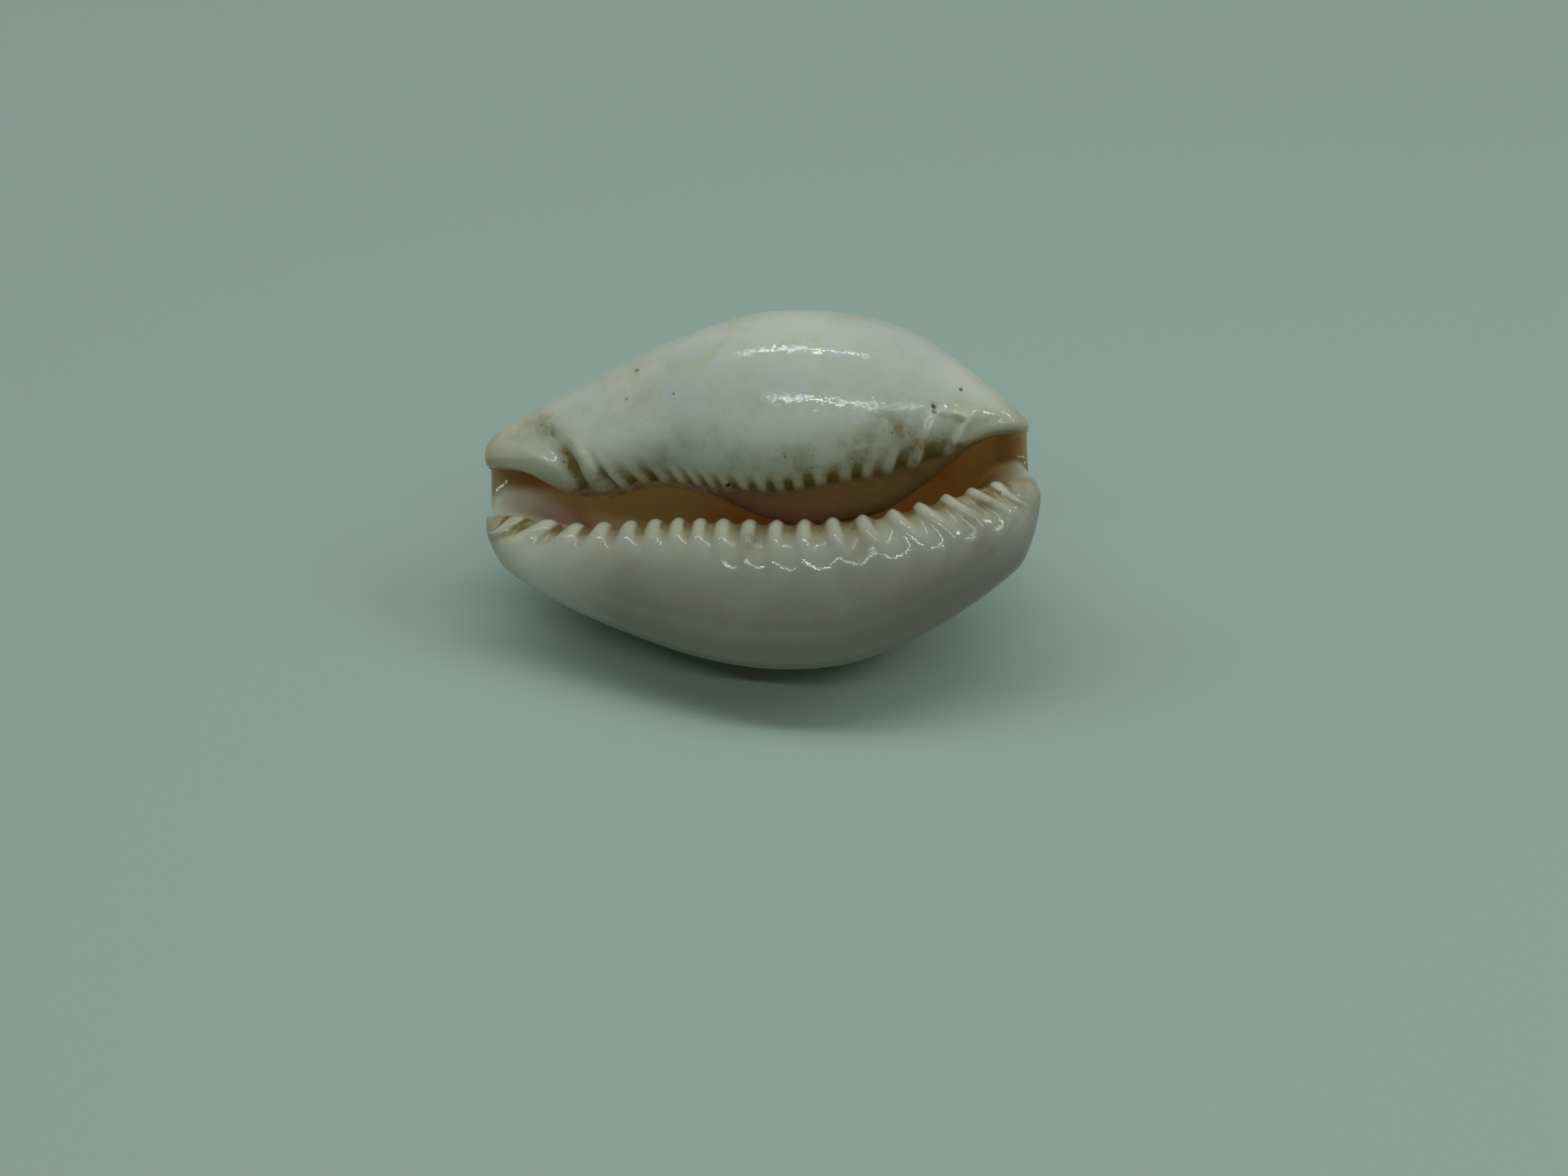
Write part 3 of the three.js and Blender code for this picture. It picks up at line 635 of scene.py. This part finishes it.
def makeShell():
    # a plain grid bent into the shell: its lines are counted from canal to canal, its columns round the
    # section, and the last column closes on the first
    raised, marks, spread, spotIndex = shellSurface()
    lines, columns = raised.shape[:2]
    placed, shift = layOnBack(raised)
    bm = bmesh.new()
    bmesh.ops.create_grid(bm, x_segments=lines - 1, y_segments=columns, size=1)
    layers = {name: bm.verts.layers.float.new(name) for name in marks}
    spreadLayer = bm.verts.layers.float_vector.new("spread")
    for vert in bm.verts:
        i = round((vert.co.x + 1) / 2 * (lines - 1))
        j = round((vert.co.y + 1) / 2 * columns) % columns
        vert.co = placed[i * columns + j]
        for name, layer in layers.items():
            vert[layer] = marks[name][i, j]
        vert[spreadLayer] = spread[i, j]
    bmesh.ops.remove_doubles(bm, verts=bm.verts, dist=shell["weld"])
    bmesh.ops.recalc_face_normals(bm, faces=bm.faces)
    if bm.calc_volume(signed=True) < 0:
        bmesh.ops.reverse_faces(bm, faces=bm.faces)
    for face in bm.faces:
        face.smooth = True
    mesh = bpy.data.meshes.new("shellSurface")
    bm.to_mesh(mesh)
    bm.free()
    piece = bpy.data.objects.new("shellSurface", mesh)
    bpy.context.scene.collection.objects.link(piece)
    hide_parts("shell")
    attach(piece, "root")
    print("shell:", len(mesh.vertices), "points,", len(mesh.polygons), "faces")
    return piece, shift, [Vector(placed[i]) for i in spotIndex]


# material

class Nodes:
    # short ways to add and join shader nodes
    def __init__(self, name):
        self.material = bpy.data.materials.new(name)
        self.material.use_nodes = True
        self.tree = self.material.node_tree
        self.shader = self.tree.nodes["Principled BSDF"]

    def put(self, kind, inputs=(), **settings):
        node = self.tree.nodes.new("ShaderNode" + kind)
        for name, value in settings.items():
            setattr(node, name, value)
        for socket, value in dict(inputs).items():
            self.feed(node.inputs[socket], value)
        return node

    def feed(self, socket, value):
        if isinstance(value, bpy.types.NodeSocket):
            self.tree.links.new(value, socket)
        else:
            socket.default_value = value

    def mark(self, name):
        return self.put("Attribute", attribute_name=name).outputs["Fac"]

    def calc(self, operation, a, b=0.0, clamp=False):
        return self.put("Math", {0: a, 1: b}, operation=operation, use_clamp=clamp).outputs[0]

    def ramp(self, value, low, high, fromValue=0.0, toValue=1.0):
        # fromValue at low, toValue at high, smooth between and level past them
        inputs = {"Value": value, "From Min": low, "From Max": high, "To Min": fromValue, "To Max": toValue}
        return self.put("MapRange", inputs, interpolation_type="SMOOTHSTEP").outputs[0]

    def mix(self, amount, a, b):
        return self.put("Mix", {0: amount, 6: a, 7: b}, data_type="RGBA").outputs[2]

    def noise(self, vector, scale, detail, roughness=.5, coloured=False):
        inputs = {"Vector": vector, "Scale": scale, "Detail": detail, "Roughness": roughness}
        return self.put("TexNoise", inputs).outputs["Color" if coloured else 0]

    def colours(self, value, stops):
        node = self.put("ValToRGB", {0: value})
        elements = node.color_ramp.elements
        while len(elements) < len(stops):
            elements.new(1)
        for element, (place, colour) in zip(elements, stops):
            element.position = place
            element.color = colour
        return node.outputs[0]


# scales are in pattern cells per metre, or on the back per shell length; a range is (low, high) of
# what it follows, with the amounts at those two where they aren't 0 and 1
enamel = {
    "white": srgb(223, 222, 212),
    "cool": srgb(212, 215, 210),
    "cream": srgb(212, 203, 166),
    "broad": {"scale": 170, "detail": 3},
    "cloud": {"scale": 520, "detail": 4, "roughness": .6},
    "mottle": {"scale": 700, "detail": 6, "roughness": .7},
    "coolClouds": (.42, .64),
    "creamMottle": (.46, .7, 0, .5),
    "creamFront": (0, .2, .6, 0),        # along the shell
    "creamRear": (.76, .95, 0, .15),
    "creamEnds": .75,
    "creamLip": (.01, .12, .35, 0),      # distance from the lip, as a fraction of the length
    "creamClouds": (.3, .6, 1, .6),
    "refraction": 1.6,
    "roughness": (.3, .7, .06, .12),     # from clear to cloudy enamel
    "stainRoughness": .25,
    "glow": (0, 1, .3, .8),              # subsurface share, outside and in the hollow
    "glowDepth": (0, 1, 1.2 * mm, 4 * mm),   # deeper in the thin walls of the hollow
    "glowReach": (1, .62, .4),           # red light runs furthest
    "ripple": {"scale": 1300, "detail": 1},
    "rippleShare": .12,
    "waves": {"scale": 2600, "detail": 2},
    "waveShare": .22,
    "waveHeight": .07 * mm,
}
staining = {
    # tan near the columellar lip, partly stain and partly painted shade where the base turns in at the lip
    "tan": srgb(168, 150, 104),
    "brown": srgb(136, 114, 48),
    "grime": srgb(92, 76, 44),
    "valley": (-.5, .45, 1, 0),          # from between two teeth up their sides
    "nearLip": (.012, .085, 1, 0),
    "bySide": (0, 1, 1, .95),            # labral, columellar
    "tanFrom": (.07, .2),
    "tanTo": (.8, .88, 1, 0),
    "lipTanAndShadeReach": (0, .12, .75, 0),
    "patch": {"scale": 1000, "detail": 6, "roughness": .65},
    "patches": (.38, .62, .35, 1),
    "clouds": (.3, .62, .5, 1.2),
    # painted shade in the strokes' grooves, clouded
    "grooves": (.3, .6, .6, .95),
    "grimeAndShadeFrom": (.6, 1, 0, .4),
    "speckScale": 4200,
    "speckEdge": (.14, .3, 1, 0),
    "speckShare": (.72, .8),             # only the cells with a random value past this have a speck
    "speckStain": (.1, .5, .02, .7),
    "spotCore": .5,                      # shares of a single mark's reach where it starts and stops fading
    "spotEdge": 1.2,
}
back = {
    "ground": srgb(178, 148, 104),
    "pale": srgb(198, 178, 140),
    "groundNoise": {"scale": 330, "detail": 4},   # this one per metre
    "groundClouds": (.35, .65),
    "ring": srgb(112, 74, 40),
    "spot": srgb(206, 204, 198),
    "cellsAlong": 12.5,                  # cells of the spot pattern in one shell length
    "scatter": .8,                       # how far the spots stray from a regular grid
    "bendNoise": {"scale": 24, "detail": 2},
    "bend": (.03, .03, 0),               # how much the pattern is bent, in shell lengths
    "spotSizes": (0, 1, .7, 1.25),
    "spotFill": (.1, .24, 1, 0),         # from a spot's middle out
    "spotPaleness": (.1, .4, .3, .9),
    "ringInside": (.12, .2),
    "ringOutside": (.27, .4, 1, 0),
    "ringed": (.22, .4, .12, 1),         # which spots have a ring
    "ringWear": (.3, .6, .6, 1),
}
flank = {
    "labral": srgb(134, 126, 110),       # the labral side between its teeth and the margin, in painted shade that darkens it downwards
    "margin": srgb(140, 129, 120),       # greyed violet round the enamel's edge
    "wander": .03,                       # how unevenly the colours end
    "noiseMiddle": .5,                   # the cloud noise varies about this
    "labralShadeFrom": (-.28, -.1),           # heights past the enamel's edge, in shell lengths, over which that painted shade sets in
    "marginFrom": (-.12, -.03, 0, .85),
    "backFrom": (0, .055),
}
hollow = {
    # colours along the slot, front canal first: the hollow itself, then the whorl's wall in it
    "deep": ((0, srgb(216, 212, 196)), (.06, srgb(226, 214, 202)), (.13, srgb(230, 200, 178)),
             (.2, srgb(238, 198, 170)), (.33, srgb(250, 202, 186)), (.42, srgb(250, 184, 162)),
             (.6, srgb(236, 184, 150)), (.84, srgb(160, 132, 94)), (.92, srgb(196, 184, 158)),
             (1, srgb(216, 212, 202))),
    "wall": ((0, srgb(196, 182, 146)), (.2, srgb(222, 184, 130)), (.4, srgb(222, 168, 138)),
             (.5, srgb(224, 174, 128)), (.68, srgb(212, 168, 112)), (.8, srgb(190, 152, 98)),
             (1, srgb(196, 182, 146))),
    # dark brown on the canals' walls, from their floor round under the columellar lip
    "canal": srgb(114, 88, 42),
}


def cleanSkin(n, place):
    # enamel: white with cooler clouds, creamier towards both ends and the teeth
    broad = n.noise(place, **enamel["broad"])
    along = n.mark("along")
    front = n.ramp(along, *enamel["creamFront"])
    ends = n.calc("ADD", front, n.ramp(along, *enamel["creamRear"]), clamp=True)
    ends = n.calc("MULTIPLY", ends, enamel["creamEnds"])
    warm = n.calc("ADD", ends, n.ramp(n.mark("lip"), *enamel["creamLip"]), clamp=True)
    warm = n.calc("MULTIPLY", warm, n.ramp(broad, *enamel["creamClouds"]))
    mottle = n.ramp(n.noise(place, **enamel["mottle"]), *enamel["creamMottle"])
    skin = n.mix(n.ramp(broad, *enamel["coolClouds"]), enamel["white"], enamel["cool"])
    skin = n.mix(mottle, skin, enamel["cream"])
    return n.mix(warm, skin, enamel["cream"])


def stainedSkin(n, place, cloud, skin):
    # near the columellar lip a tan that is partly stain and partly painted shade, then stains settle
    # between the teeth and in clouds around them
    along = n.mark("along")
    lip = n.mark("lip")
    inner = n.mark("inner")
    teeth = n.calc("MULTIPLY", n.ramp(along, *staining["tanFrom"]), n.ramp(along, *staining["tanTo"]))
    # partly stain, partly painted shade where the base turns in towards the slot
    lipTanAndShade = n.calc("MULTIPLY", n.calc("MULTIPLY", inner, teeth), n.ramp(lip, *staining["lipTanAndShadeReach"]))
    skin = n.mix(lipTanAndShade, skin, staining["tan"])
    valley = n.ramp(n.mark("ridge"), *staining["valley"])
    between = n.calc("MULTIPLY", valley, n.ramp(lip, *staining["nearLip"]))
    between = n.calc("MULTIPLY", between, n.ramp(inner, *staining["bySide"]))
    patchy = n.ramp(n.noise(place, **staining["patch"]), *staining["patches"])
    stain = n.calc("ADD", between, n.calc("MULTIPLY", n.mark("stain"), patchy))
    stain = n.calc("MULTIPLY", stain, n.ramp(cloud, *staining["clouds"]), clamp=True)
    # painted shade in the grooves of the strokes, by their depth
    grooveShade = n.calc("MULTIPLY", n.mark("groove"), n.ramp(cloud, *staining["grooves"]))
    stain = n.calc("ADD", stain, grooveShade, clamp=True)
    skin = n.mix(stain, skin, staining["brown"])
    # where stains and the painted groove shade are strongest they go darker still
    return n.mix(n.ramp(stain, *staining["grimeAndShadeFrom"]), skin, staining["grime"]), stain


def speckledSkin(n, place, skin, stain, spotPlaces):
    # fine dark specks where the stains are, then the single marks
    specks = n.put("TexVoronoi", {"Vector": place, "Scale": staining["speckScale"]})
    pick = n.put("SeparateColor", {0: specks.outputs["Color"]}).outputs[0]
    dot = n.ramp(specks.outputs["Distance"], *staining["speckEdge"])
    speck = n.calc("MULTIPLY", dot, n.ramp(pick, *staining["speckShare"]))
    speck = n.calc("MULTIPLY", speck, n.ramp(stain, *staining["speckStain"]))
    skin = n.mix(speck, skin, staining["grime"])
    for spot, spotPlace in zip(spots, spotPlaces):
        away = n.put("VectorMath", {0: place, 1: spotPlace}, operation="DISTANCE").outputs["Value"]
        core = spot["reach"] * staining["spotCore"]
        edge = spot["reach"] * staining["spotEdge"]
        skin = n.mix(n.ramp(away, core, edge, spot["strength"], 0), skin, spot["colour"])
    return skin


def ringedBack(n, place, cloud):
    # the back: tan ground with pale spots, most of them ringed in brown
    spread = n.put("Attribute", attribute_name="spread").outputs["Vector"]
    bend = n.noise(spread, **back["bendNoise"], coloured=True)
    bent = n.put("VectorMath", {0: bend, 1: back["bend"], 2: spread}, operation="MULTIPLY_ADD").outputs[0]
    pattern = {"Vector": bent, "Scale": back["cellsAlong"], "Randomness": back["scatter"]}
    cells = n.put("TexVoronoi", pattern, voronoi_dimensions="2D")
    kind = n.put("SeparateColor", {0: cells.outputs["Color"]})
    away = n.calc("DIVIDE", cells.outputs["Distance"], n.ramp(kind.outputs[0], *back["spotSizes"]))
    ring = n.calc("MULTIPLY", n.ramp(away, *back["ringInside"]), n.ramp(away, *back["ringOutside"]))
    ring = n.calc("MULTIPLY", ring, n.ramp(kind.outputs[1], *back["ringed"]))
    ring = n.calc("MULTIPLY", ring, n.ramp(cloud, *back["ringWear"]))
    paleness = n.ramp(kind.outputs[2], *back["spotPaleness"])
    fill = n.calc("MULTIPLY", n.ramp(away, *back["spotFill"]), paleness)
    ground = n.ramp(n.noise(place, **back["groundNoise"]), *back["groundClouds"])
    tan = n.mix(ground, back["ground"], back["pale"])
    tan = n.mix(fill, tan, back["spot"])
    return n.mix(ring, tan, back["ring"])


def pastTheEdge(n, cloud, skin, tan):
    # the labral side darkens downwards as painted shade; past the enamel's edge the flank turns violet
    # grey, then into the back's tan
    uneven = n.calc("MULTIPLY", n.calc("SUBTRACT", cloud, flank["noiseMiddle"]), flank["wander"])
    height = n.calc("ADD", n.mark("back"), uneven)
    # painted shade on the lower labral side
    labral = n.calc("MULTIPLY", n.mark("labral"), n.ramp(height, *flank["labralShadeFrom"]))
    outside = n.mix(labral, skin, flank["labral"])
    outside = n.mix(n.ramp(height, *flank["marginFrom"]), outside, flank["margin"])
    return n.mix(n.ramp(height, *flank["backFrom"]), outside, tan)


def makeEnamel(spotPlaces):
    n = Nodes("cowryEnamel")
    inputs = n.shader.inputs
    place = n.put("TexCoord").outputs["Object"]
    cloud = n.noise(place, **enamel["cloud"])
    along = n.mark("along")
    inHollow = n.mark("hollow")

    skin, stain = stainedSkin(n, place, cloud, cleanSkin(n, place))
    skin = speckledSkin(n, place, skin, stain, spotPlaces)
    outside = pastTheEdge(n, cloud, skin, ringedBack(n, place, cloud))
    outside = n.mix(n.mark("wall"), outside, n.colours(along, hollow["wall"]))
    slot = n.mix(inHollow, outside, n.colours(along, hollow["deep"]))
    n.feed(inputs["Base Color"], n.mix(n.mark("canal"), slot, hollow["canal"]))

    inputs["IOR"].default_value = enamel["refraction"]
    inputs["Subsurface Radius"].default_value = enamel["glowReach"]
    n.feed(inputs["Subsurface Weight"], n.ramp(inHollow, *enamel["glow"]))
    n.feed(inputs["Subsurface Scale"], n.ramp(inHollow, *enamel["glowDepth"]))
    stainRoughness = n.calc("MULTIPLY", stain, enamel["stainRoughness"])
    n.feed(inputs["Roughness"], n.calc("ADD", n.ramp(cloud, *enamel["roughness"]), stainRoughness))
    ripple = n.calc("MULTIPLY", n.noise(place, **enamel["ripple"]), enamel["rippleShare"])
    waves = n.calc("MULTIPLY", n.noise(place, **enamel["waves"]), enamel["waveShare"])
    height = n.calc("ADD", ripple, waves)
    bump = n.put("Bump", {"Strength": 1, "Distance": enamel["waveHeight"], "Height": height})
    n.feed(inputs["Normal"], bump.outputs[0])
    return n.material


# floor, light and camera

studio = {
    "floorColour": srgb(178, 196, 189),
    "floorRoughness": .6,
    "floorSize": 1.2,
    "floorGap": .02 * mm,                # keeps the paper just clear of the shell's flat
    "cameraPlace": Vector((7.12, -72.45, 64.97)) * mm,   # from the middle of the shell, above the floor
    "cameraTurn": math.radians(4.68),
    "cameraDown": math.radians(40.6),
    "focalLength": 47.86,
    "sensorWidth": 36,
    "nearClip": 1 * mm,
    "aim": Vector((0, 0, 8)) * mm,       # where the lamps point; their places are measured from it
    "airColour": (.82, .94, .90, 1),
    "airStrength": .09,
    "lampColour": (.88, 1, .94),
    "lamps": (
        {"name": "softTop", "place": (0, .055, .30), "size": (.7, .1), "turn": 0, "power": .53,
         "mirrored": False},
        {"name": "topStrip", "place": (-.03, .035, .30), "size": (.32, .006), "turn": -2, "power": .1,
         "mirrored": True},
        {"name": "frontStrip", "place": (.03, -.205, .27), "size": (.42, .006), "turn": -3, "power": .17,
         "mirrored": True},
        {"name": "rearStrip", "place": (.27, -.02, .25), "size": (.02, .12), "turn": 0, "power": .1,
         "mirrored": True},
    ),
}


def makeFloor():
    bm = bmesh.new()
    bmesh.ops.create_grid(bm, x_segments=1, y_segments=1, size=studio["floorSize"] / 2)
    bmesh.ops.translate(bm, verts=bm.verts, vec=(0, 0, cadBox[0][2] - studio["floorGap"]))
    mesh = bpy.data.meshes.new("floor")
    bm.to_mesh(mesh)
    bm.free()
    floor = bpy.data.objects.new("floor", mesh)
    bpy.context.scene.collection.objects.link(floor)
    n = Nodes("palePaper")
    n.shader.inputs["Base Color"].default_value = studio["floorColour"]
    n.shader.inputs["Roughness"].default_value = studio["floorRoughness"]
    mesh.materials.append(n.material)


def areaLight(lamp, place, target):
    data = bpy.data.lights.new(lamp["name"], "AREA")
    data.shape = "RECTANGLE"
    data.size, data.size_y = lamp["size"]
    data.energy = lamp["power"]
    data.color = studio["lampColour"]
    light = bpy.data.objects.new(lamp["name"], data)
    light.visible_glossy = lamp["mirrored"]   # whether the enamel shows its reflection
    light.location = place
    turn = math.radians(lamp["turn"])        # of the lamp's long side, seen from above
    away = (place - target).normalized()
    side = away.cross(Vector((math.cos(turn), math.sin(turn), 0))).normalized()
    light.rotation_euler = Matrix((side.cross(away), side, away)).transposed().to_euler()
    bpy.context.scene.collection.objects.link(light)


def makeStudio(shift):
    middle = Vector((shift[0], shift[1], cadBox[0][2]))
    camera = bpy.data.objects.new("camera", bpy.data.cameras.new("camera"))
    camera.location = middle + studio["cameraPlace"]
    camera.rotation_euler = (math.pi / 2 - studio["cameraDown"], 0, studio["cameraTurn"])
    camera.data.lens = studio["focalLength"]
    camera.data.sensor_width = studio["sensorWidth"]
    camera.data.clip_start = studio["nearClip"]
    bpy.context.scene.collection.objects.link(camera)
    bpy.context.scene.camera = camera

    target = middle + studio["aim"]
    for lamp in studio["lamps"]:
        areaLight(lamp, target + Vector(lamp["place"]), target)
    world = bpy.data.worlds.new("studioAir")
    world.use_nodes = True
    air = world.node_tree.nodes["Background"].inputs
    air["Color"].default_value = studio["airColour"]
    air["Strength"].default_value = studio["airStrength"]
    bpy.context.scene.world = world
    bpy.context.scene.view_settings.view_transform = "Standard"


shellPiece, shellShift, shellSpots = makeShell()
shellPiece.data.materials.append(makeEnamel(shellSpots))
print("material made")
makeFloor()
makeStudio(shellShift)
print("studio made")
